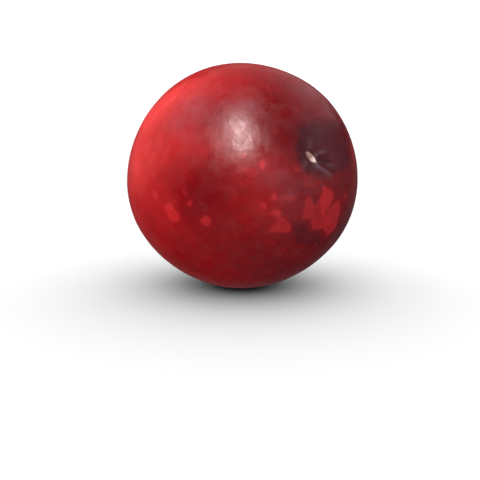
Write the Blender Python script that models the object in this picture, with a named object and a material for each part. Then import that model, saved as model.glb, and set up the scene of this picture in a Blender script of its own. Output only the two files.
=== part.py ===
"""A ripe cranberry lying on its side, as one closed solid.

Metres, +Z up. The berry rests on the plane Z = 0 by a small flat spot, and the origin is on that
plane, under the middle of the berry. -Y is the front. The stem end, a smooth hollow with a small
pale scar, looks forward, to the right and a little up. The calyx end, with its four folded lobes,
is opposite it.

The skin is a star-shaped surface round the berry's centre: its distance from the centre is a
formula in two angles, the polar angle from the stem end and the turn round the berry's own axis.
"""

import math

import bmesh
import bpy
import numpy as np
from mathutils import Matrix, Vector

MM = 0.001

# Driving dimensions
LENGTH = 18.5 * MM  # stem end to calyx end, before the two hollows are sunk
DIAMETER = 17.8 * MM  # across the axis
RADIUS = DIAMETER / 2
FOOT_SINK = 0.22 * MM  # how much of the underside the flat spot takes away

# How the berry lies: where its stem end points
STEM_HEADING = math.radians(-54)  # from +X, counterclockwise seen from above
STEM_RISE = math.radians(12.5)  # above the horizontal

# Stem end: a round hollow with the scar of the stalk in its middle. A turn of 0 points down the
# face of the stem end, and 90 degrees to the right.
STEM_HOLLOW_DEPTH = 1.00 * MM
STEM_HOLLOW_RADIUS = 1.80 * MM
SCAR_TURN = math.radians(40)
SCAR_LENGTH = 0.90 * MM
SCAR_WIDTH = 0.46 * MM
SCAR_HEIGHT = 0.20 * MM
SCAR_EDGE = 0.8  # width of the slope round it, as a share of its half length
SCAR_DENT = 0.08 * MM  # depth of the pit in its middle
SCAR_DENT_REACH = 0.5  # as a share of its half length

# Folds that run out from the scar: turn in degrees, height, width, and the arcs they span
FOLDS = (
    (43, 0.12 * MM, 0.22 * MM, 0.30 * MM, 2.30 * MM),
    (71, -0.28 * MM, 0.40 * MM, 0.55 * MM, 2.40 * MM),
    (106, 0.10 * MM, 0.18 * MM, 0.30 * MM, 1.70 * MM),
    (190, 0.05 * MM, 0.30 * MM, 0.40 * MM, 1.90 * MM),
    (238, -0.06 * MM, 0.34 * MM, 0.40 * MM, 1.80 * MM),
    (300, 0.05 * MM, 0.28 * MM, 0.40 * MM, 2.10 * MM),
    (345, -0.05 * MM, 0.30 * MM, 0.40 * MM, 1.70 * MM),
)
FOLD_START = 0.3 * MM  # length over which a fold begins
FOLD_END = 0.9 * MM  # length over which it dies out

# Calyx end: four lobes folded in over a shallow cup, which shows between them as a star
CROWN_HOLLOW_DEPTH = 0.50 * MM
CROWN_HOLLOW_RADIUS = 2.50 * MM
LOBE_COUNT = 4
LOBE_TURN = math.radians(22.5)
LOBE_HEIGHT = 0.36 * MM
LOBE_RIM_RADIUS = 1.95 * MM
LOBE_RIM_WIDTH = 0.90 * MM
LOBE_SCALLOP = 0.08  # share by which the rim stands out at a lobe's middle and in at its sides
LOBE_ARCH = 0.45  # share of its height that a lobe loses towards its sides
LOBE_UNEVENNESS = 0.16  # share by which the lobes differ in height
LOBE_UNEVEN_TURN = math.radians(46)  # where they differ most
STAR_TIP_RADIUS = 0.38 * MM  # from the axis to the end of a lobe
STAR_NOTCH_RADIUS = 1.55 * MM  # from the axis to the notch between two lobes
CUP_DEPTH = 0.55 * MM
CUP_WALL = 0.30 * MM  # width over which a lobe's edge drops into the cup
STYLE_HEIGHT = 0.28 * MM  # the stub of the style, in the middle of the cup
STYLE_RADIUS = 0.20 * MM

# Soft unevenness of the skin: azimuth from +X and elevation of its middle, height, reach
SWELLS = (
    (180, -18, 0.23 * MM, 0.50),
    (0, -20, 0.23 * MM, 0.45),
    (0, 72, -0.14 * MM, 0.38),
)

# Mesh density: close rings over the relief of each end, wider ones between
TURNS = 64
END_RINGS = 22
END_ARC = 2.70 * MM
STAR_RING_ARC = 0.86 * MM  # where the ring would lie that follows the lobes' edge instead
MIDDLE_RINGS = 24

SKIN_COLOUR = (0.42, 0.022, 0.026, 1.0)
SKIN_ROUGHNESS = 0.38


def attitude():
    """Turns the berry's own frame, with its stem end on +Z, into the way it lies."""
    heading = Matrix.Rotation(STEM_HEADING, 3, "Z")
    fall = Matrix.Rotation(math.pi / 2 - STEM_RISE, 3, "Y")
    return heading @ fall


def bell(x):
    return np.exp(-x * x)


def smooth_step(x):
    x = np.clip(x, 0.0, 1.0)
    return x * x * (3 - 2 * x)


def folds(arc, turn):
    """Height of the ridges and furrows that run out from the scar."""
    height = np.zeros(len(arc))
    for degrees, peak, width, start, end in FOLDS:
        off = turn - math.radians(degrees)
        across = arc * np.sin(off)
        ahead = np.cos(off) > 0
        grown = smooth_step((arc - start) / FOLD_START) * smooth_step((end - arc) / FOLD_END)
        height += peak * bell(across / width) * grown * ahead
    return height


def stem_end(arc, turn):
    """Height of the stem end's relief at an arc length from the pole."""
    hollow = -STEM_HOLLOW_DEPTH * bell(arc / STEM_HOLLOW_RADIUS)
    along = arc * np.cos(turn - SCAR_TURN) / (SCAR_LENGTH / 2)
    across = arc * np.sin(turn - SCAR_TURN) / (SCAR_WIDTH / 2)
    oval = np.hypot(along, across)
    scar = SCAR_HEIGHT * smooth_step((1 - oval) / SCAR_EDGE + 0.5)
    scar -= SCAR_DENT * bell(oval / SCAR_DENT_REACH)
    return hollow + folds(arc, turn) + scar


def star_edge(turn):
    """Radius of the lobes' edge: straight lines between each lobe's tip and its two notches."""
    half = math.pi / LOBE_COUNT
    off_tip = np.abs((turn - LOBE_TURN + half) % (2 * half) - half)
    tip_part = STAR_TIP_RADIUS * np.sin(off_tip)
    notch_part = STAR_NOTCH_RADIUS * np.sin(half - off_tip)
    return STAR_TIP_RADIUS * STAR_NOTCH_RADIUS * math.sin(half) / (tip_part + notch_part)


def follow_star(arc, turn):
    """Slides the arcs in and out, so that one ring of the mesh runs along the lobes' edge."""
    edge = star_edge(turn)
    inside = arc * edge / STAR_RING_ARC
    outside = edge + (arc - STAR_RING_ARC) * (END_ARC - edge) / (END_ARC - STAR_RING_ARC)
    return np.where(arc < STAR_RING_ARC, inside, np.where(arc < END_ARC, outside, arc))


def calyx_end(arc, turn):
    """Height of the calyx end's relief at an arc length from the pole."""
    hollow = -CROWN_HOLLOW_DEPTH * bell(arc / CROWN_HOLLOW_RADIUS)
    on_lobe = np.cos(LOBE_COUNT * (turn - LOBE_TURN))
    rim = LOBE_RIM_RADIUS * (1 + LOBE_SCALLOP * on_lobe)
    height = LOBE_HEIGHT * (1 - LOBE_ARCH * (0.5 - 0.5 * on_lobe) * smooth_step(arc / rim))
    height *= 1 + LOBE_UNEVENNESS * np.cos(turn - LOBE_UNEVEN_TURN) * np.cos(2 * turn)
    lobes = height * smooth_step((rim - arc) / LOBE_RIM_WIDTH + 0.5)
    cup = -CUP_DEPTH * smooth_step((star_edge(turn) - arc) / CUP_WALL + 0.5)
    style = STYLE_HEIGHT * bell(arc / STYLE_RADIUS)
    return hollow + lobes + cup + style


def swells(directions):
    """Height of the soft unevenness in these world directions."""
    height = np.zeros(len(directions))
    for azimuth, elevation, peak, reach in SWELLS:
        a, e = math.radians(azimuth), math.radians(elevation)
        middle = np.array((math.cos(a) * math.cos(e), math.sin(a) * math.cos(e), math.sin(e)))
        angle = np.arccos(np.clip(directions @ middle, -1.0, 1.0))
        height += peak * bell(angle / reach)
    return height


def skin_points(polar, turn):
    """Points of the skin in the berry's own frame, its centre at 0 and its stem end on +Z."""
    calyx_arc = follow_star(RADIUS * (math.pi - polar), turn)
    polar = np.where(calyx_arc < END_ARC, math.pi - calyx_arc / RADIUS, polar)
    ways = np.stack(
        (np.sin(polar) * np.cos(turn), np.sin(polar) * np.sin(turn), np.cos(polar)), axis=1
    )
    oval = 1 / np.hypot(np.cos(polar) / (LENGTH / 2), np.sin(polar) / RADIUS)
    relief = stem_end(RADIUS * polar, turn) + calyx_end(calyx_arc, turn)
    relief += swells(ways @ np.array(attitude()).T)
    return ways * (oval + relief)[:, None]


def ring_angles():
    """Polar angles of the rings, from the stem end to the calyx end."""
    end_angle = END_ARC / RADIUS
    end = np.linspace(0, end_angle, END_RINGS, endpoint=False)
    middle = np.linspace(end_angle, math.pi - end_angle, MIDDLE_RINGS)
    return np.concatenate((end, middle, math.pi - end[::-1]))


def berry_mesh():
    """The whole skin as a ball of rings, moved out to its shape."""
    angles = ring_angles()
    mesh = bmesh.new()
    bmesh.ops.create_uvsphere(mesh, u_segments=TURNS, v_segments=len(angles) - 1, radius=1.0)
    ball = np.array([v.co for v in mesh.verts])
    even = np.arccos(np.clip(ball[:, 2], -1.0, 1.0))
    polar = np.interp(even, np.linspace(0, math.pi, len(angles)), angles)
    turn = np.arctan2(ball[:, 1], ball[:, 0])
    for vertex, point in zip(mesh.verts, skin_points(polar, turn)):
        vertex.co = point
    return mesh


def cut_foot(mesh, placed):
    """Cuts the berry off flat on the world plane Z = 0 and closes the cut with one face."""
    to_own = placed.inverted()
    cut = bmesh.ops.bisect_plane(
        mesh,
        geom=mesh.verts[:] + mesh.edges[:] + mesh.faces[:],
        plane_co=to_own @ Vector((0, 0, 0)),
        plane_no=to_own.to_3x3() @ Vector((0, 0, 1)),
        clear_inner=True,
    )
    rim = [e for e in cut["geom_cut"] if isinstance(e, bmesh.types.BMEdge)]
    bmesh.ops.edgeloop_fill(mesh, edges=rim)
    for edge in rim:
        edge.smooth = False
    bmesh.ops.recalc_face_normals(mesh, faces=mesh.faces[:])


def skin_material():
    material = bpy.data.materials.new("cranberry_skin")
    material.use_nodes = True
    shader = material.node_tree.nodes["Principled BSDF"]
    shader.inputs["Base Color"].default_value = SKIN_COLOUR
    shader.inputs["Roughness"].default_value = SKIN_ROUGHNESS
    shader.inputs["Metallic"].default_value = 0.0
    return material


def make_cranberry():
    mesh = berry_mesh()
    turned = attitude()
    lowest = min((turned @ v.co).z for v in mesh.verts)
    placed = Matrix.Translation((0, 0, -lowest - FOOT_SINK)) @ turned.to_4x4()
    cut_foot(mesh, placed)
    data = bpy.data.meshes.new("cranberry")
    mesh.to_mesh(data)
    mesh.free()
    data.shade_smooth()
    data.materials.append(skin_material())
    berry = bpy.data.objects.new("cranberry", data)
    berry.matrix_world = placed
    bpy.context.scene.collection.objects.link(berry)
    return berry


def main():
    for obj in list(bpy.data.objects):
        bpy.data.objects.remove(obj, do_unlink=True)
    make_cranberry()


main()
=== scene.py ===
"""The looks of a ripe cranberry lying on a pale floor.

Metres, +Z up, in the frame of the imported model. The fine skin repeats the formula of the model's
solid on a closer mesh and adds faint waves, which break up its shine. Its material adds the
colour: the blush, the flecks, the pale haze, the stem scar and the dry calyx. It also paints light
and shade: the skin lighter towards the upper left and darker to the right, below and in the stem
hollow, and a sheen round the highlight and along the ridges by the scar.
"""

import math

import bpy
import numpy as np
from mathutils import Matrix, Vector, noise


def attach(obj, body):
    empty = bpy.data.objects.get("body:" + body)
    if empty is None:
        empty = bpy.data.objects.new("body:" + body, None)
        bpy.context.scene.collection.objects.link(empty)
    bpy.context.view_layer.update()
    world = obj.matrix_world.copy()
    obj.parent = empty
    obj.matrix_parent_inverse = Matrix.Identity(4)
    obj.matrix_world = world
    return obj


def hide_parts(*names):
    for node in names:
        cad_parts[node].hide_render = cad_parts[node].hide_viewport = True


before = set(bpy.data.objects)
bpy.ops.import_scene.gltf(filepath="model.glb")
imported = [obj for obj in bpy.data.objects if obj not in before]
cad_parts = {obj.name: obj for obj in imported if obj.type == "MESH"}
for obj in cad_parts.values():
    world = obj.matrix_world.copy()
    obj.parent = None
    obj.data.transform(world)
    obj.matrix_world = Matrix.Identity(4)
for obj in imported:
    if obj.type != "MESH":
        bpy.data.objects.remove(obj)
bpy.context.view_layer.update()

MM = 0.001
NODE = "cranberry"

# Camera, fitted to the photograph's outline and floor shade
CAMERA_PLACE = (-0.14 * MM, -46.96 * MM, 11.92 * MM)
CAMERA_FALL = math.radians(10.08)  # how far it looks down
FIELD_OF_VIEW = math.radians(45)
NEAR_CLIP = 1 * MM
FAR_CLIP = 10.0

# Form. All of it but the faint waves is as in the solid
LENGTH = 18.5 * MM
DIAMETER = 17.8 * MM
RADIUS = DIAMETER / 2
FOOT_SINK = 0.22 * MM
FOOT_SOFTNESS = 0.03 * MM  # rounding of the flat spot's edge
STEM_HEADING = math.radians(-54)
STEM_RISE = math.radians(12.5)

STEM_HOLLOW_DEPTH = 1.00 * MM
STEM_HOLLOW_RADIUS = 1.80 * MM
SCAR_TURN = math.radians(40)
SCAR_LENGTH = 0.90 * MM
SCAR_WIDTH = 0.46 * MM
SCAR_HEIGHT = 0.20 * MM
SCAR_EDGE = 0.8  # width of the slope round it, as a share of its half length
SCAR_DENT = 0.08 * MM
SCAR_DENT_REACH = 0.5

# Folds that run out from the scar: turn in degrees, height, width, and the arcs they span
FOLDS = (
    (43, 0.12 * MM, 0.22 * MM, 0.30 * MM, 2.30 * MM),
    (71, -0.28 * MM, 0.40 * MM, 0.55 * MM, 2.40 * MM),
    (106, 0.10 * MM, 0.18 * MM, 0.30 * MM, 1.70 * MM),
    (190, 0.05 * MM, 0.30 * MM, 0.40 * MM, 1.90 * MM),
    (238, -0.06 * MM, 0.34 * MM, 0.40 * MM, 1.80 * MM),
    (300, 0.05 * MM, 0.28 * MM, 0.40 * MM, 2.10 * MM),
    (345, -0.05 * MM, 0.30 * MM, 0.40 * MM, 1.70 * MM),
)
FOLD_START = 0.3 * MM
FOLD_END = 0.9 * MM

CROWN_HOLLOW_DEPTH = 0.50 * MM
CROWN_HOLLOW_RADIUS = 2.50 * MM
LOBE_COUNT = 4
LOBE_TURN = math.radians(22.5)
LOBE_HEIGHT = 0.36 * MM
LOBE_RIM_RADIUS = 1.95 * MM
LOBE_RIM_WIDTH = 0.90 * MM
LOBE_SCALLOP = 0.08
LOBE_ARCH = 0.45
LOBE_UNEVENNESS = 0.16
LOBE_UNEVEN_TURN = math.radians(46)
STAR_TIP_RADIUS = 0.38 * MM
STAR_NOTCH_RADIUS = 1.55 * MM
CUP_DEPTH = 0.55 * MM
CUP_WALL = 0.30 * MM
STYLE_HEIGHT = 0.28 * MM
STYLE_RADIUS = 0.20 * MM

# Soft unevenness of the skin: azimuth from +X and elevation of its middle, height, reach
SWELLS = (
    (180, -18, 0.23 * MM, 0.50),
    (0, -20, 0.23 * MM, 0.45),
    (0, 72, -0.14 * MM, 0.38),
)

# Faint waves of the skin, which break up its shine: size and height
UNDULATIONS = ((3.0 * MM, 0.020 * MM), (1.3 * MM, 0.010 * MM))

# Mesh density
TURNS = 300
END_RINGS = 60
END_ARC = 2.70 * MM
STAR_RING_ARC = 0.86 * MM
MIDDLE_RINGS = 172

# Ripeness, from 0 where the skin is scarlet to 1 where it is maroon: an even part, how fast it
# grows along X, Y and Z, and soft spots with the azimuth and elevation of their middle, what they
# add, and their reach. It is partly the skin's blush and partly painted light and shade: growing
# to the right and downwards, and with lighter spots on the upper left, it paints the skin lighter
# where the light falls from the upper left and darker to the right and below.
RIPENESS_MIDDLE = 0.58
RIPENESS_AND_SHADE_TILT = (0.20, -0.03, -0.20)
RIPE_AND_SHADED_SPOTS = (
    # the spots on the upper left that take ripeness away are partly painted light
    (-150, 10, -0.23, 0.35),
    (-155, 34, -0.15, 0.22),
    (-140, 42, -0.12, 0.30),
    (-125, 52, -0.12, 0.20),
    (-116, 18, -0.15, 0.18),
    (-106, 30, 0.08, 0.15),
    (-105, 7, 0.10, 0.16),
    (-108, -6, 0.18, 0.22),
    (-80, 10, -0.13, 0.14),
    (-80, -8, -0.13, 0.25),
    (-128, -20, -0.05, 0.25),
    (-70, 9, -0.06, 0.12),
    (-143, 44, -0.22, 0.11),
    (-132, 15, -0.09, 0.15),
    (-152, 34, -0.15, 0.12),
    (-93, 49, -0.10, 0.16),
    (-70, 38, 0.12, 0.35),
    (-60, -45, 0.06, 0.40),
    # darker round the stem: partly darker skin, partly painted shade of its hollow
    (-48, 16, 0.16, 0.45),
    (-58, 23, 0.10, 0.17),
    (-61, 32, -0.12, 0.16),
    (-44, -14, -0.12, 0.24),
    (-28, -22, 0.16, 0.24),
    (-24, 13, -0.16, 0.13),
    (-15, 13, -0.20, 0.15),
    (20, 5, -0.20, 0.35),
    (55, -25, 0.15, 0.40),
    (80, 30, -0.22, 0.35),
    (115, -5, 0.18, 0.30),
    (150, 40, 0.15, 0.35),
    (160, -30, -0.15, 0.40),
)

# Patches of riper or paler skin with straight sides and soft edges: azimuth and elevation of the
# middle, what they add to the ripeness, width of the edge, and the corners as for the flecks. The
# first two are partly darker skin and partly painted shade of the stem hollow and its left wall.
PATCHES = (
    # painted shade of the stem hollow, over darker skin
    (
        -44, 18, 0.17, 0.90, (
            (-2.5, 1.2), (-3.0, -0.3), (-2.8, -1.5), (-1.6, -2.1), (0.3, -2.1), (2.3, -1.3),
            (3.1, 0.3), (2.9, 1.6), (-0.6, 1.7),
        ),
    ),
    # painted shade of the hollow's left wall
    (
        -44, 18, 0.06, 0.25,
        ((-2.5, 1.2), (-3.1, -0.3), (-2.9, -1.2), (-2.0, -1.3), (-1.0, 0.0), (-1.2, 1.3)),
    ),
    (
        -57, -22, 0.14, 0.35,
        ((-1.7, 0.9), (-0.9, 1.1), (0.0, 0.3), (1.4, -0.3), (1.7, -1.3), (-0.7, -0.7)),
    ),
    (-58, 2, -0.15, 0.20, ((-0.7, 0.5), (0.6, 0.4), (0.9, -0.2), (0.2, -0.6), (-0.7, -0.3))),
)

# Where the wax on the skin shows as a pale haze, and a painted sheen: azimuth, elevation, share,
# reach. On the front, round and below the highlight and towards the upper right rim, the spots are
# partly a painted sheen of reflected light; those on the back are the wax alone.
BLOOM_AND_SHEEN_SPOTS = (
    (-118, 38, 0.038, 0.20),
    (-121, 31, 0.030, 0.18),
    (-100, 36, 0.020, 0.16),
    (-87, 35, 0.040, 0.10),
    (-104, 18, 0.012, 0.20),
    (-76, 7, 0.035, 0.16),
    (-66, -4, 0.035, 0.17),
    (-50.5, 9.3, 0.13, 0.035),
    (-35, 48, 0.060, 0.30),
    (-51, 31, 0.025, 0.18),
    (-30, 5, 0.015, 0.50),
    (70, 20, 0.040, 0.50),
    (170, 10, 0.030, 0.40),
)

# Flecks with straight sides: azimuth and elevation of the middle, strength, and the corners in mm
# to the right of it and above it
FLECKS = (
    (-133, -5, 0.60, ((-0.3, 0.3), (0.3, 0.3), (0.3, -0.1), (0.0, -0.4), (-0.3, -0.1))),
    (
        -124, -13, 0.62, (
            (-0.6, 0.5), (-0.1, 0.8), (0.2, 0.7), (0.7, -0.2), (0.5, -0.5), (0.2, -0.6),
            (-0.4, -0.4),
        ),
    ),
    (-121, -7, 0.45, ((-0.2, 0.1), (0.1, 0.0), (0.1, -0.3))),
    (-116, -2, 0.30, ((-0.1, 0.3), (0.0, 0.3), (0.3, -0.4), (0.1, -0.4), (-0.2, -0.1))),
    (-113, -7, 0.45, ((-0.3, 0.0), (0.1, 0.2), (0.2, 0.1), (0.1, -0.3), (-0.3, -0.3))),
    (
        -106, -15, 0.52,
        ((-0.5, 0.0), (-0.1, 0.4), (0.2, 0.3), (0.3, 0.0), (0.2, -0.3), (-0.2, -0.4)),
    ),
    (
        -106.5, 14.8, 0.22,
        ((-0.3, 0.2), (0.1, 0.3), (0.4, 0.1), (0.3, -0.2), (-0.1, -0.3), (-0.3, -0.1)),
    ),
    (-89, 13, 0.55, ((-0.1, 0.1), (0.1, 0.1), (0.1, -0.2), (-0.1, -0.2))),
    (-82, 9, 0.85, ((-0.2, 0.1), (0.0, 0.3), (0.2, 0.2), (0.2, -0.3), (0.0, -0.3))),
    (-86, 6, 0.30, ((-0.7, 0.2), (-0.2, 0.3), (0.3, 0.2), (0.4, -0.1), (0.0, -0.4))),
    (-66, 7, 0.45, ((-0.2, 0.2), (0.1, 0.2), (0.2, -0.1), (-0.1, -0.1))),
    (-82, -7, 0.55, ((-0.3, 0.1), (0.1, 0.1), (0.4, -0.1), (0.2, -0.4), (-0.1, -0.1))),
    (-76.5, -4, 0.60, ((-0.3, -0.2), (-0.1, 0.2), (0.1, 0.2), (0.2, -0.2))),
    (-70.5, -5, 0.22, ((-0.6, 0.2), (0.5, 0.2), (0.5, -0.1), (0.2, -0.3), (-0.5, 0.0))),
    (-75, -11, 0.52, ((-0.5, 0.0), (-0.2, 0.2), (0.2, 0.2), (0.4, -0.1), (0.0, -0.3))),
    (
        -73, -16.7, 0.40,
        ((-0.3, 0.6), (0.1, 0.6), (0.7, 0.1), (0.9, -0.6), (-0.8, -0.5), (-0.4, 0.1)),
    ),
    (
        -60, -9.7, 0.40,
        ((-0.4, -0.7), (-0.4, -0.2), (-0.3, 0.7), (0.0, 0.8), (0.5, 0.1), (0.7, -0.8)),
    ),
    (-54, -11.2, 0.30, ((-0.5, 0.4), (-0.1, 0.7), (0.3, 0.4), (0.6, -0.7), (-0.4, -0.6))),
    (
        -49.5, -7.7, 0.58, (
            (-0.8, 0.1), (-0.3, 1.1), (0.3, 0.9), (0.6, 0.5), (0.5, 0.0), (0.1, -0.6),
            (-0.1, -1.1), (-0.6, -1.1),
        ),
    ),
    (
        -43, -15.2, 0.44, (
            (-0.2, 1.1), (0.4, 1.2), (0.7, 0.6), (0.8, -0.1), (0.9, -0.9), (0.3, -1.5),
            (-0.8, -0.8), (-1.2, 0.1),
        ),
    ),
    (-53, -17.7, 0.40, ((-0.8, 0.5), (0.4, 0.4), (0.8, -0.4), (0.0, -0.4), (-0.5, -0.2))),
    (-35, -6, 0.25, ((-0.5, 0.1), (0.3, 0.2), (0.4, -0.2), (-0.2, -0.3))),
    (-105, 51, 0.50, ((-0.4, 0.0), (0.1, 0.5), (0.3, 0.2), (-0.2, -0.4))),
    (-103, 45, 0.40, ((-0.2, 0.2), (0.0, 0.3), (0.2, -0.3), (0.0, -0.3))),
    (-73, 45, 0.25, ((-0.2, 0.4), (0.0, 0.4), (0.1, -0.4), (0.0, -0.5))),
)

# More flecks, strewn over the skin by chance
STREWN_FLECKS = 110
STREWN_SEED = 5
STREWN_STRENGTH = (0.15, 0.60)
STREWN_CLEAR = 80  # degrees to either side of the front, where every fleck is listed
STREWN_SIZE = (0.15, 0.55)  # half length in mm
STREWN_WIDTH = (0.4, 0.9)  # as a share of the length
STREWN_CORNERS = (4, 7)  # from the first number up to the one before the last
STREWN_SWAY = 0.3  # how far a corner may stray, as a share of the way to the next

# A fleck's edge and the redder ground round it, in mm inside its outline, and their shares
FLECK_EDGE = (-0.11, 0.13)
FLECK_SHARE = 0.90
FLECK_GROUND_REACH = 0.7
FLECK_GROUND = 0.10
FLECK_RAGGED = (0.35 * MM, 0.06)  # grain of its edge, and how far it strays in mm
FLECK_TONE_SIZE = 0.6 * MM
FLECK_TONE = (0.80, 1.10)
OUTSIDE_ALL = -9.0  # what stands for that where no fleck is near

FLAT_REACH = 0.8  # cosine of how far round a direction the skin is taken as flat there

# Small faint flecks all over: size, how rare they are, and their share
FAINT_SIZE = 0.45 * MM
FAINT_RARITY = 0.88
FAINT_SHARE = 0.08

# Between which values soft noise lies: nearly all of it, most of it and the middle of it
NOISE_ALL = (0.2, 0.8)
NOISE_MOST = (0.25, 0.75)
NOISE_MIDDLE = (0.3, 0.7)

# Kinds of noise: how many finer layers it has, and how strong each is beside the one before
PLAIN = (1.0, 0.5)
SOFT = (2.0, 0.5)
CLOUDY = (3.0, 0.55)
ROUGH = (3.0, 0.6)
ROUGHER = (4.0, 0.65)

# How the ripeness varies from place to place: size of the features, and how much either way
BLOTCHES = (3.2 * MM, 0.055)
MOTTLE = (0.8 * MM, 0.02)
MOSAIC = (0.9 * MM, 0.015)

# Colours, as linear red, green and blue
SCARLET = (0.80, 0.050, 0.048, 1)
RED = (0.40, 0.008, 0.010, 1)
DEEP_RED = (0.20, 0.002, 0.004, 1)
MAROON = (0.075, 0.007, 0.011, 1)
RIPENESS_COLOURS = ((0.0, SCARLET), (0.35, RED), (0.65, DEEP_RED), (1.0, MAROON))
FLECK_COLOUR = (0.56, 0.019, 0.024, 1)
# pale haze of the wax, also the colour of the painted sheen
BLOOM_AND_SHEEN_COLOUR = (0.60, 0.51, 0.60, 1)
SCAR_COLOUR = (0.95, 0.70, 0.64, 1)
SCAR_DUST = (0.36, 0.20, 0.17, 1)
DRY_COLOUR = (0.30, 0.13, 0.07, 1)
CUP_COLOUR = (0.20, 0.07, 0.03, 1)
LOBE_COLOUR = (0.13, 0.022, 0.014, 1)

SCAR_PALE = 1.08  # how far out from its middle the scar is pale, where 1 is its edge
SCAR_PALE_LEAN = 0.16  # and how much further than that at its upper left end
SCAR_PALE_EDGE = 0.4
SCAR_CLEAN_REACH = 0.9  # how much of its length it takes to turn from dusty to clean

# Calyx: how much of their own colour the lobes and their dry edge show, which is uneven
LOBE_SHARE = (0.15, 0.75)
LOBE_GRAIN = 0.7 * MM
DRY_SHARE = (0.45, 1.0)
DRY_GRAIN = 0.4 * MM
DRY_EDGE = 0.28 * MM  # how far from the lobes' edge they are dry

STEM_BLOOM = 0.016  # pale haze round the scar, as a share
RIDGE_SHEEN = 0.09  # and a painted highlight along the ridges that run out from it
PALE_RIDGE = 0.12 * MM  # height of a ridge that has all of it
HAZE_AND_SHEEN_GRAIN = 1.4 * MM
HAZE_AND_SHEEN_PATCHES = (0.5, 1.5)  # how thin and how thick the haze and painted sheen are from place to place

# Gloss: the wax's grain and roughness, and how much the roughness of its facets strays
SPECULAR_LEVEL = 0.15
WAX_GRAIN = 1.1 * MM
WAX_ROUGHNESS = (0.25, 0.37)
WAX_FACETS = (0.8 * MM, 0.07)
DULL_RADIUS = 1.6 * MM  # how far from the scar the skin stays dull
HOLLOW_DULLNESS = 0.15  # how much rougher it is there

# Where else the wax is rubbed dull: azimuth, elevation, how much rougher, reach
DULL_SPOTS = (
    (108, 73, 0.42, 0.36),
    (152, 58, 0.18, 0.28),
)

# Fine relief: size and height of slanted streaks, pores and small waves
STREAKS = (2.0 * MM, 0.014 * MM)
STREAK_SLANT = math.radians(35)
STREAK_SCALE = (3.0, 1.0, 0.6)
PORES = (0.25 * MM, 0.0025 * MM)
SMALL_WAVES = (0.9 * MM, 0.030 * MM)

# Light. The sky is weaker low down in front, for the dark shade where the berry touches the floor.
# A direction counts fully as in front where its Y is below the first number of FRONT_REACH, and not
# at all above the second. It counts as low in the same way by its height, whether up or down
SKY_LIGHT = 1.28
GROUND_LIGHT = 0.55
HORIZON = (-0.20, -0.05)  # heights between which the ground's light turns into the sky's
FRONT_SHADE = 0.02  # share of the sky light that is left low down in front
FRONT_REACH = (-0.38, 0.0)
LOW_REACH = (0.26, 0.58)
FLOOR_ALBEDO = 0.92
FLOOR_REACH = 4.0
BOX_DISTANCE = 0.30
DIFFUSE_BOUNCES = 0  # neither the berry nor the floor throws soft light on the other or itself

# Soft boxes as seen from the berry: azimuth from +X and elevation, width and height in degrees,
# lean, radiance, and whether it shows as a highlight (or else only in the shading)
BOXES = (
    ("window", -97, 42, 13, 34, 20, 64.0, True),
    ("panel", -101, 47, 42, 62, 0, 6.2, True),
    ("rim", 60, 50, 70, 60, 0, 0.34, True),
    ("back", 95, -15, 110, 70, 0, 0.09, True),
    ("under", 90, -70, 80, 60, 0, 0.50, False),
    ("bounce", -95, -50, 90, 50, 0, 1.2, False),
    ("side", -165, 25, 80, 80, 0, 0.92, False),
    ("front", -90, 8, 90, 45, 0, 1.0, False),
)


def attitude():
    """Turns the berry's own frame, with its stem end on +Z, into the way it lies."""
    heading = Matrix.Rotation(STEM_HEADING, 3, "Z")
    fall = Matrix.Rotation(math.pi / 2 - STEM_RISE, 3, "Y")
    return np.array(heading @ fall)


def bell(x):
    return np.exp(-x * x)


def smooth_step(x):
    x = np.clip(x, 0.0, 1.0)
    return x * x * (3 - 2 * x)


def way(azimuth, elevation):
    """Unit vector towards an azimuth from +X and an elevation, in degrees."""
    a, e = math.radians(azimuth), math.radians(elevation)
    return np.array((math.cos(a) * math.cos(e), math.sin(a) * math.cos(e), math.sin(e)))


def angle_to(directions, middle):
    return np.arccos(np.clip(directions @ middle, -1.0, 1.0))


def folds(arc, turn):
    """Height of the ridges and furrows that run out from the scar."""
    height = np.zeros(len(arc))
    for degrees, peak, width, start, end in FOLDS:
        off = turn - math.radians(degrees)
        across = arc * np.sin(off)
        ahead = np.cos(off) > 0
        grown = smooth_step((arc - start) / FOLD_START) * smooth_step((end - arc) / FOLD_END)
        height += peak * bell(across / width) * grown * ahead
    return height


def scar_place(arc, turn):
    """How far a point is from the scar's middle along it and across it, where 1 is its edge."""
    along = arc * np.cos(turn - SCAR_TURN) / (SCAR_LENGTH / 2)
    across = arc * np.sin(turn - SCAR_TURN) / (SCAR_WIDTH / 2)
    return along, across


def stem_end(arc, turn):
    """Height of the stem end's relief at an arc length from the pole."""
    hollow = -STEM_HOLLOW_DEPTH * bell(arc / STEM_HOLLOW_RADIUS)
    oval = np.hypot(*scar_place(arc, turn))
    scar = SCAR_HEIGHT * smooth_step((1 - oval) / SCAR_EDGE + 0.5)
    scar -= SCAR_DENT * bell(oval / SCAR_DENT_REACH)
    return hollow + folds(arc, turn) + scar


def star_edge(turn):
    """Radius of the lobes' edge: straight lines between each lobe's tip and its two notches."""
    half = math.pi / LOBE_COUNT
    off_tip = np.abs((turn - LOBE_TURN + half) % (2 * half) - half)
    tip_part = STAR_TIP_RADIUS * np.sin(off_tip)
    notch_part = STAR_NOTCH_RADIUS * np.sin(half - off_tip)
    return STAR_TIP_RADIUS * STAR_NOTCH_RADIUS * math.sin(half) / (tip_part + notch_part)


def follow_star(arc, turn):
    """Slides the arcs in and out, so that one ring of the mesh runs along the lobes' edge."""
    edge = star_edge(turn)
    inside = arc * edge / STAR_RING_ARC
    outside = edge + (arc - STAR_RING_ARC) * (END_ARC - edge) / (END_ARC - STAR_RING_ARC)
    return np.where(arc < STAR_RING_ARC, inside, np.where(arc < END_ARC, outside, arc))


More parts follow.
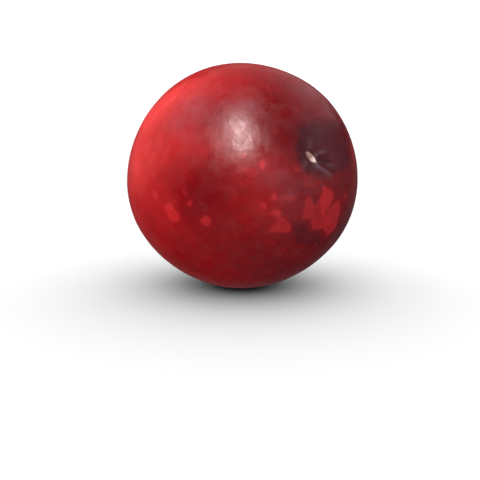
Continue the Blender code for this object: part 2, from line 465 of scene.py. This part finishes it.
def calyx_end(arc, turn):
    """Height of the calyx end's relief at an arc length from the pole."""
    hollow = -CROWN_HOLLOW_DEPTH * bell(arc / CROWN_HOLLOW_RADIUS)
    on_lobe = np.cos(LOBE_COUNT * (turn - LOBE_TURN))
    rim = LOBE_RIM_RADIUS * (1 + LOBE_SCALLOP * on_lobe)
    height = LOBE_HEIGHT * (1 - LOBE_ARCH * (0.5 - 0.5 * on_lobe) * smooth_step(arc / rim))
    height *= 1 + LOBE_UNEVENNESS * np.cos(turn - LOBE_UNEVEN_TURN) * np.cos(2 * turn)
    lobes = height * smooth_step((rim - arc) / LOBE_RIM_WIDTH + 0.5)
    cup = -CUP_DEPTH * smooth_step((star_edge(turn) - arc) / CUP_WALL + 0.5)
    style = STYLE_HEIGHT * bell(arc / STYLE_RADIUS)
    return hollow + lobes + cup + style


def swells(directions):
    """Height of the soft unevenness in these world directions."""
    height = np.zeros(len(directions))
    for azimuth, elevation, peak, reach in SWELLS:
        height += peak * bell(angle_to(directions, way(azimuth, elevation)) / reach)
    return height


def undulation(ways):
    """Height of the faint waves of the skin in these directions."""
    height = np.zeros(len(ways))
    for size, peak in UNDULATIONS:
        places = ways * (RADIUS / size)
        height += peak * np.array([noise.noise(Vector(place)) for place in places])
    return height


def ring_angles():
    """Polar angles of the rings, from the stem end to the calyx end."""
    end_angle = END_ARC / RADIUS
    end = np.linspace(0, end_angle, END_RINGS, endpoint=False)
    middle = np.linspace(end_angle, math.pi - end_angle, MIDDLE_RINGS)
    return np.concatenate((end, middle, math.pi - end[::-1]))


class Grid:
    """The rings of the berry's mesh, with what its formula gives at each point."""

    def __init__(self):
        polar, turn = np.meshgrid(
            ring_angles()[1:-1], np.arange(TURNS) * 2 * math.pi / TURNS, indexing="ij"
        )
        self.rings = len(polar)
        polar = np.concatenate(([0.0], polar.ravel(), [math.pi]))
        self.turn = np.concatenate(([0.0], turn.ravel(), [0.0]))
        self.calyx_arc = follow_star(RADIUS * (math.pi - polar), self.turn)
        self.calyx_arc[-1] = 0.0
        polar = np.where(self.calyx_arc < END_ARC, math.pi - self.calyx_arc / RADIUS, polar)
        self.stem_arc = RADIUS * polar
        sideways = np.stack((np.cos(self.turn), np.sin(self.turn)), axis=1)
        own = np.column_stack((np.sin(polar)[:, None] * sideways, np.cos(polar)))
        self.ways = own @ attitude().T
        oval = 1 / np.hypot(np.cos(polar) / (LENGTH / 2), np.sin(polar) / RADIUS)
        relief = stem_end(self.stem_arc, self.turn) + calyx_end(self.calyx_arc, self.turn)
        radius = oval + relief + swells(self.ways) + undulation(self.ways)
        self.points = self.ways * radius[:, None]
        self.points[:, 2] -= self.points[:, 2].min() + FOOT_SINK
        self.flatten_foot()

    def flatten_foot(self):
        """Presses what is below the floor up to it, with a soft edge."""
        z = self.points[:, 2]
        self.points[:, 2] = (z + np.hypot(z, FOOT_SOFTNESS)) / 2

    def faces(self):
        """Fans at the two poles and quads between the rings."""
        last = self.rings * TURNS + 1
        here = np.arange(TURNS)
        after = (here + 1) % TURNS
        fans = [(0, 1 + a, 1 + b) for a, b in zip(here, after)]
        top = last - TURNS
        fans += [(last, top + b, top + a) for a, b in zip(here, after)]
        quads = []
        for ring in range(self.rings - 1):
            upper, lower = 1 + ring * TURNS, 1 + (ring + 1) * TURNS
            quads += list(zip(upper + here, lower + here, lower + after, upper + after))
        return fans + quads


def soft_spots(ways, spots):
    """Sum of soft round spots in these directions."""
    value = np.zeros(len(ways))
    for azimuth, elevation, amount, reach in spots:
        value += amount * bell(angle_to(ways, way(azimuth, elevation)) / reach)
    return value


def ripeness_and_shade(ways):
    value = RIPENESS_MIDDLE + ways @ np.array(RIPENESS_AND_SHADE_TILT) + soft_spots(ways, RIPE_AND_SHADED_SPOTS)
    for azimuth, elevation, amount, edge, corners in PATCHES:
        near, x, y = flat_places(ways, azimuth, elevation)
        value[near] += amount * smooth_step(depth_in_outline(x, y, corners) / edge + 0.5)
    return value


def bloom_and_sheen(grid):
    """Share of the pale haze, with painted sheen and ridge highlights, at each point of the grid.
    """
    round_scar = STEM_BLOOM * bell(grid.stem_arc / DULL_RADIUS)
    ridges = np.clip(folds(grid.stem_arc, grid.turn) / PALE_RIDGE, 0.0, 1.0)
    return soft_spots(grid.ways, BLOOM_AND_SHEEN_SPOTS) + round_scar + RIDGE_SHEEN * ridges


def dullness(grid):
    """How much rougher than elsewhere the skin is at each point of the grid."""
    round_scar = HOLLOW_DULLNESS * bell(grid.stem_arc / DULL_RADIUS)
    return round_scar + soft_spots(grid.ways, DULL_SPOTS)


def flat_places(ways, azimuth, elevation):
    """The points near a direction, and how far to the right of it and above it they are, in mm."""
    middle = way(azimuth, elevation)
    right = np.array((-math.sin(math.radians(azimuth)), math.cos(math.radians(azimuth)), 0))
    above = np.cross(middle, right)
    near = np.flatnonzero(ways @ middle > FLAT_REACH)
    return near, ways[near] @ right * RADIUS / MM, ways[near] @ above * RADIUS / MM


def depth_in_outline(x, y, corners):
    """How far inside an outline with straight sides each point is; below 0 outside it."""
    nearest = np.full(len(x), np.inf)
    inside = np.zeros(len(x), bool)
    for (x0, y0), (x1, y1) in zip(corners, corners[1:] + corners[:1]):
        side_x, side_y = x1 - x0, y1 - y0
        along = ((x - x0) * side_x + (y - y0) * side_y) / (side_x * side_x + side_y * side_y)
        along = np.clip(along, 0.0, 1.0)
        nearest = np.minimum(nearest, np.hypot(x - x0 - along * side_x, y - y0 - along * side_y))
        crosses = (y0 > y) != (y1 > y)
        reached = x0 + (y - y0) * side_x / (side_y or 1)
        inside ^= crosses & (x < reached)
    return np.where(inside, nearest, -nearest)


def strewn_flecks():
    """Small flecks with four to six corners, at random places."""
    draw = np.random.default_rng(STREWN_SEED)
    found = []
    for _ in range(STREWN_FLECKS):
        azimuth = draw.uniform(STREWN_CLEAR, 360 - STREWN_CLEAR) - 90
        elevation = math.degrees(math.asin(draw.uniform(-1, 1)))
        length = draw.uniform(*STREWN_SIZE)
        width = length * draw.uniform(*STREWN_WIDTH)
        lean = draw.uniform(0, math.pi)
        count = draw.integers(*STREWN_CORNERS)
        corners = []
        for corner in range(count):
            angle = (corner + draw.uniform(-STREWN_SWAY, STREWN_SWAY)) * 2 * math.pi / count
            along, across = length * math.cos(angle), width * math.sin(angle)
            corners.append((
                along * math.cos(lean) - across * math.sin(lean),
                along * math.sin(lean) + across * math.cos(lean),
            ))
        found.append((azimuth, elevation, draw.uniform(*STREWN_STRENGTH), tuple(corners)))
    return found


def flecks(ways):
    """How far inside a fleck each point is, in mm, and that fleck's strength."""
    inside = np.full(len(ways), OUTSIDE_ALL)
    strength = np.zeros(len(ways))
    for azimuth, elevation, tone, corners in list(FLECKS) + strewn_flecks():
        near, x, y = flat_places(ways, azimuth, elevation)
        depth = depth_in_outline(x, y, corners)
        stronger = depth > inside[near]
        inside[near[stronger]] = depth[stronger]
        strength[near[stronger]] = tone
    return inside, strength


def add_attribute(mesh, name, values):
    layer = mesh.attributes.new(name, "FLOAT", "POINT")
    layer.data.foreach_set("value", values.astype(np.float32))


def mark_skin(mesh, grid):
    """Tells the material the ripeness and painted shade, flecks, haze and dullness at each point.
    """
    # the ripeness holds painted light and shade, and the haze a painted sheen
    add_attribute(mesh, "ripeness_and_shade", ripeness_and_shade(grid.ways))
    inside, strength = flecks(grid.ways)
    add_attribute(mesh, "fleck_inside", inside)
    add_attribute(mesh, "fleck_strength", strength)
    add_attribute(mesh, "bloom_and_sheen", bloom_and_sheen(grid))
    add_attribute(mesh, "dullness", dullness(grid))


def mark_scar(mesh, grid):
    """Tells the material where the scar is, and which end of it is clean."""
    along, across = scar_place(grid.stem_arc, grid.turn)
    pale = SCAR_PALE - SCAR_PALE_LEAN * along - np.hypot(along, across)
    add_attribute(mesh, "scar", smooth_step(pale / SCAR_PALE_EDGE + 0.5))
    add_attribute(mesh, "scar_clean", smooth_step(along / SCAR_CLEAN_REACH + 0.5))


def mark_calyx(mesh, grid):
    """Tells the material where the calyx's cup, lobes and dry edge are."""
    edge = star_edge(grid.turn)
    add_attribute(mesh, "cup", smooth_step((edge - grid.calyx_arc) / CUP_WALL + 0.5))
    add_attribute(mesh, "dry", bell((grid.calyx_arc - edge) / DRY_EDGE))
    on_lobes = smooth_step((LOBE_RIM_RADIUS - grid.calyx_arc) / LOBE_RIM_WIDTH + 0.5)
    add_attribute(mesh, "lobes", on_lobes)


def make_berry():
    grid = Grid()
    mesh = bpy.data.meshes.new("cranberry_skin")
    mesh.from_pydata(grid.points.tolist(), [], grid.faces())
    mesh.shade_smooth()
    mark_skin(mesh, grid)
    mark_scar(mesh, grid)
    mark_calyx(mesh, grid)
    berry = bpy.data.objects.new("cranberry_skin", mesh)
    bpy.context.scene.collection.objects.link(berry)
    return berry


class Nodes:
    """Short ways to add nodes to a material's tree."""

    def __init__(self, tree):
        self.tree = tree

    def add(self, kind, **settings):
        node = self.tree.nodes.new(kind)
        for key, value in settings.items():
            setattr(node, key, value)
        return node

    def put(self, socket, value):
        """Links a socket to another one, or gives it a plain value."""
        if isinstance(value, bpy.types.NodeSocket):
            self.tree.links.new(value, socket)
        else:
            socket.default_value = value

    def attribute(self, name):
        return self.add("ShaderNodeAttribute", attribute_name=name).outputs["Fac"]

    def math(self, operation, first, second=0.0, clamp=False):
        node = self.add("ShaderNodeMath", operation=operation, use_clamp=clamp)
        self.put(node.inputs[0], first)
        self.put(node.inputs[1], second)
        return node.outputs[0]

    def span(self, value, low, high, to_low=0.0, to_high=1.0, smooth=True):
        """Maps a value between low and high to another range, and holds it outside."""
        kind = "SMOOTHSTEP" if smooth else "LINEAR"
        node = self.add("ShaderNodeMapRange", interpolation_type=kind, clamp=True)
        self.put(node.inputs["Value"], value)
        node.inputs["From Min"].default_value = low
        node.inputs["From Max"].default_value = high
        node.inputs["To Min"].default_value = to_low
        node.inputs["To Max"].default_value = to_high
        return node.outputs["Result"]

    def sway(self, value, low, high, amount):
        """Maps a value between low and high to between minus and plus this amount."""
        return self.span(value, low, high, -amount, amount, False)

    def noise(self, place, size, kind):
        """Soft noise whose features are about this size, in metres, around 0.5."""
        node = self.add("ShaderNodeTexNoise")
        self.put(node.inputs["Vector"], place)
        node.inputs["Scale"].default_value = 1 / size
        node.inputs["Detail"].default_value, node.inputs["Roughness"].default_value = kind
        return node.outputs["Fac"]

    def cells(self, place, size):
        """A value by chance for each cell of a mosaic with straight sides, between 0 and 1."""
        node = self.add("ShaderNodeTexVoronoi")
        self.put(node.inputs["Vector"], place)
        node.inputs["Scale"].default_value = 1 / size
        split = self.add("ShaderNodeSeparateColor")
        self.put(split.inputs[0], node.outputs["Color"])
        return split.outputs[0]

    def mix(self, share, first, second):
        """Mixes two colours; the sockets for colours have the numbers 6 and 7, and 2 at the end."""
        node = self.add("ShaderNodeMix", data_type="RGBA")
        self.put(node.inputs[0], share)
        self.put(node.inputs[6], first)
        self.put(node.inputs[7], second)
        return node.outputs[2]

    def bump(self, height, depth, normal=None):
        node = self.add("ShaderNodeBump")
        node.inputs["Distance"].default_value = depth
        self.put(node.inputs["Height"], height)
        if normal:
            self.put(node.inputs["Normal"], normal)
        return node.outputs["Normal"]

    def ramp(self, value, stops):
        node = self.add("ShaderNodeValToRGB")
        self.put(node.inputs[0], value)
        elements = node.color_ramp.elements
        while len(elements) < len(stops):
            elements.new(0.5)
        for element, (position, colour) in zip(elements, stops):
            element.position = position
            element.color = colour
        return node.outputs["Color"]


def blush(n, place):
    """The skin's colour from its ripeness with painted light and shade, varying a little by place.
    """
    blotches = n.noise(place, BLOTCHES[0], CLOUDY)
    ripe_and_shade = n.math("ADD", n.attribute("ripeness_and_shade"), n.sway(blotches, *NOISE_MOST, BLOTCHES[1]))
    mottle = n.noise(place, MOTTLE[0], ROUGH)
    ripe_and_shade = n.math("ADD", ripe_and_shade, n.sway(mottle, *NOISE_MOST, MOTTLE[1]))
    mosaic = n.sway(n.cells(place, MOSAIC[0]), 0.0, 1.0, MOSAIC[1])
    ripe_and_shade = n.math("ADD", ripe_and_shade, mosaic, clamp=True)
    return n.ramp(ripe_and_shade, RIPENESS_COLOURS)


def add_flecks(n, place, skin):
    """Flecks with ragged edges and an uneven tone, and the redder ground round them."""
    ragged = n.sway(n.noise(place, FLECK_RAGGED[0], SOFT), *NOISE_ALL, FLECK_RAGGED[1])
    inside = n.math("ADD", n.attribute("fleck_inside"), ragged)
    tone = n.noise(place, FLECK_TONE_SIZE, ROUGH)
    tone = n.span(tone, *NOISE_MIDDLE, *FLECK_TONE, False)
    ground = n.span(inside, -FLECK_GROUND_REACH, 0.0, 0.0, FLECK_GROUND)
    fleck = n.math("MULTIPLY", n.span(inside, *FLECK_EDGE), tone)
    fleck = n.math("MULTIPLY", fleck, FLECK_SHARE)
    fleck = n.math("MULTIPLY", n.math("ADD", fleck, ground), n.attribute("fleck_strength"))
    return n.mix(fleck, skin, FLECK_COLOUR)


def add_faint_flecks(n, place, skin):
    faint = n.span(n.cells(place, FAINT_SIZE), FAINT_RARITY, 1.0, 0.0, FAINT_SHARE, False)
    return n.mix(faint, skin, FLECK_COLOUR)


def add_bloom_and_sheen(n, place, skin):
    """The pale haze of the wax, with the painted sheen, which is patchy."""
    patchy = n.noise(place, HAZE_AND_SHEEN_GRAIN, ROUGH)
    patchy = n.span(patchy, *NOISE_MIDDLE, *HAZE_AND_SHEEN_PATCHES, False)
    return n.mix(n.math("MULTIPLY", n.attribute("bloom_and_sheen"), patchy), skin, BLOOM_AND_SHEEN_COLOUR)


def add_calyx(n, place, skin):
    """Brownish lobes, dry along their edge, round a dry cup."""
    withered = n.span(n.noise(place, LOBE_GRAIN, ROUGHER), *NOISE_MIDDLE, *LOBE_SHARE)
    skin = n.mix(n.math("MULTIPLY", n.attribute("lobes"), withered), skin, LOBE_COLOUR)
    crisp = n.span(n.noise(place, DRY_GRAIN, ROUGH), *NOISE_MIDDLE, *DRY_SHARE)
    skin = n.mix(n.math("MULTIPLY", n.attribute("dry"), crisp), skin, DRY_COLOUR)
    return n.mix(n.attribute("cup"), skin, CUP_COLOUR)


def add_scar(n, skin):
    scar = n.mix(n.attribute("scar_clean"), SCAR_DUST, SCAR_COLOUR)
    return n.mix(n.attribute("scar"), skin, scar)


def wax_roughness(n, place):
    """Roughness of the uneven wax, with small facets and dull places."""
    wax = n.noise(place, WAX_GRAIN, ROUGHER)
    rough = n.span(wax, *NOISE_MIDDLE, *WAX_ROUGHNESS, False)
    facets = n.sway(n.cells(place, WAX_FACETS[0]), 0.0, 1.0, WAX_FACETS[1])
    return n.math("ADD", n.math("ADD", rough, facets), n.attribute("dullness"))


def fine_relief(n, place):
    """Slanted streaks, pores and small waves, which make the highlight uneven."""
    slanted = n.add("ShaderNodeMapping")
    n.put(slanted.inputs["Vector"], place)
    slanted.inputs["Rotation"].default_value = (0, STREAK_SLANT, 0)
    slanted.inputs["Scale"].default_value = STREAK_SCALE
    streaks = n.bump(n.noise(slanted.outputs[0], STREAKS[0], PLAIN), STREAKS[1])
    pores = n.bump(n.noise(place, PORES[0], SOFT), PORES[1], streaks)
    return n.bump(n.noise(place, SMALL_WAVES[0], SOFT), SMALL_WAVES[1], pores)


def skin_material():
    material = bpy.data.materials.new("cranberry_skin")
    material.use_nodes = True
    n = Nodes(material.node_tree)
    shader = material.node_tree.nodes["Principled BSDF"]
    place = n.add("ShaderNodeTexCoord").outputs["Object"]
    skin = blush(n, place)
    skin = add_flecks(n, place, skin)
    skin = add_faint_flecks(n, place, skin)
    skin = add_bloom_and_sheen(n, place, skin)
    skin = add_calyx(n, place, skin)
    skin = add_scar(n, skin)
    n.put(shader.inputs["Base Color"], skin)
    n.put(shader.inputs["Roughness"], wax_roughness(n, place))
    shader.inputs["Specular IOR Level"].default_value = SPECULAR_LEVEL
    n.put(shader.inputs["Normal"], fine_relief(n, place))
    return material


def make_camera():
    data = bpy.data.cameras.new("camera")
    data.sensor_fit = "HORIZONTAL"
    data.angle = FIELD_OF_VIEW
    data.clip_start = NEAR_CLIP
    data.clip_end = FAR_CLIP
    camera = bpy.data.objects.new("camera", data)
    camera.location = CAMERA_PLACE
    camera.rotation_euler = (math.pi / 2 - CAMERA_FALL, 0, 0)
    bpy.context.scene.collection.objects.link(camera)
    bpy.context.scene.camera = camera


def make_floor():
    """A pale matt floor that sends no light back to the berry."""
    mesh = bpy.data.meshes.new("floor")
    signs = ((-1, -1), (1, -1), (1, 1), (-1, 1))
    corners = [(x * FLOOR_REACH, y * FLOOR_REACH, 0) for x, y in signs]
    mesh.from_pydata(corners, [], [(0, 1, 2, 3)])
    floor = bpy.data.objects.new("floor", mesh)
    bpy.context.scene.collection.objects.link(floor)
    material = bpy.data.materials.new("floor")
    material.use_nodes = True
    shader = material.node_tree.nodes["Principled BSDF"]
    shader.inputs["Base Color"].default_value = (FLOOR_ALBEDO, FLOOR_ALBEDO, FLOOR_ALBEDO, 1)
    shader.inputs["Roughness"].default_value = 1.0
    shader.inputs["Specular IOR Level"].default_value = 0.0
    mesh.materials.append(material)
    floor.visible_diffuse = False
    floor.visible_glossy = False
    floor.visible_shadow = False


def make_sky():
    """White light all round, weaker low down in front, which the berry doesn't mirror.

    The camera sees it white on every side.
    """
    world = bpy.data.worlds.new("sky")
    world.use_nodes = True
    bpy.context.scene.world = world
    n = Nodes(world.node_tree)
    background = world.node_tree.nodes["Background"]
    background.inputs["Color"].default_value = (1, 1, 1, 1)
    split = n.add("ShaderNodeSeparateXYZ")
    n.put(split.inputs[0], n.add("ShaderNodeTexCoord").outputs["Generated"])
    light = n.span(split.outputs["Z"], *HORIZON, GROUND_LIGHT, SKY_LIGHT)
    front = n.span(split.outputs["Y"], *FRONT_REACH, 1.0, 0.0)
    low = n.span(n.math("ABSOLUTE", split.outputs["Z"]), *LOW_REACH, 1.0, 0.0)
    shade = n.math("MULTIPLY", n.math("MULTIPLY", front, low), 1 - FRONT_SHADE)
    light = n.math("MULTIPLY", light, n.math("SUBTRACT", 1.0, shade))
    seen = n.math("MULTIPLY", n.add("ShaderNodeLightPath").outputs["Is Camera Ray"], SKY_LIGHT)
    n.put(background.inputs["Strength"], n.math("MAXIMUM", light, seen))
    world.cycles_visibility.glossy = False


def soft_box(name, azimuth, elevation, width, height, lean, radiance, collection, mirrored):
    """A soft box as seen from the berry: where it is, its width, height and lean, in degrees.

    A mirrored one shows only as a highlight, and another one only in the shading.
    """
    towards = Vector(way(azimuth, elevation))
    data = bpy.data.lights.new(name, "AREA")
    data.shape = "ELLIPSE"
    data.size = 2 * BOX_DISTANCE * math.tan(math.radians(width / 2))
    data.size_y = 2 * BOX_DISTANCE * math.tan(math.radians(height / 2))
    area = math.pi / 4 * data.size * data.size_y
    data.energy = radiance * math.pi * area
    light = bpy.data.objects.new(name, data)
    light.location = Vector((0, 0, RADIUS)) + towards * BOX_DISTANCE
    upright = towards.to_track_quat("Z", "Y").to_matrix()
    light.rotation_euler = (upright @ Matrix.Rotation(math.radians(lean), 3, "Z")).to_euler()
    light.visible_diffuse = not mirrored
    light.visible_glossy = mirrored
    light.visible_camera = False
    bpy.context.scene.collection.objects.link(light)
    light.light_linking.receiver_collection = collection


def make_lights(berry):
    """Soft boxes that light the berry alone, so that the floor keeps the even shade of the sky."""
    collection = bpy.data.collections.new("lit_by_boxes")
    collection.objects.link(berry)
    for name, azimuth, elevation, width, height, lean, radiance, mirrored in BOXES:
        soft_box(name, azimuth, elevation, width, height, lean, radiance, collection, mirrored)


make_camera()
make_floor()
make_sky()
berry = make_berry()
berry.data.materials.append(skin_material())
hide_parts(NODE)
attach(berry, "root")
make_lights(berry)
bpy.context.scene.cycles.diffuse_bounces = DIFFUSE_BOUNCES
bpy.context.scene.view_settings.view_transform = "Standard"

bpy.context.view_layer.update()
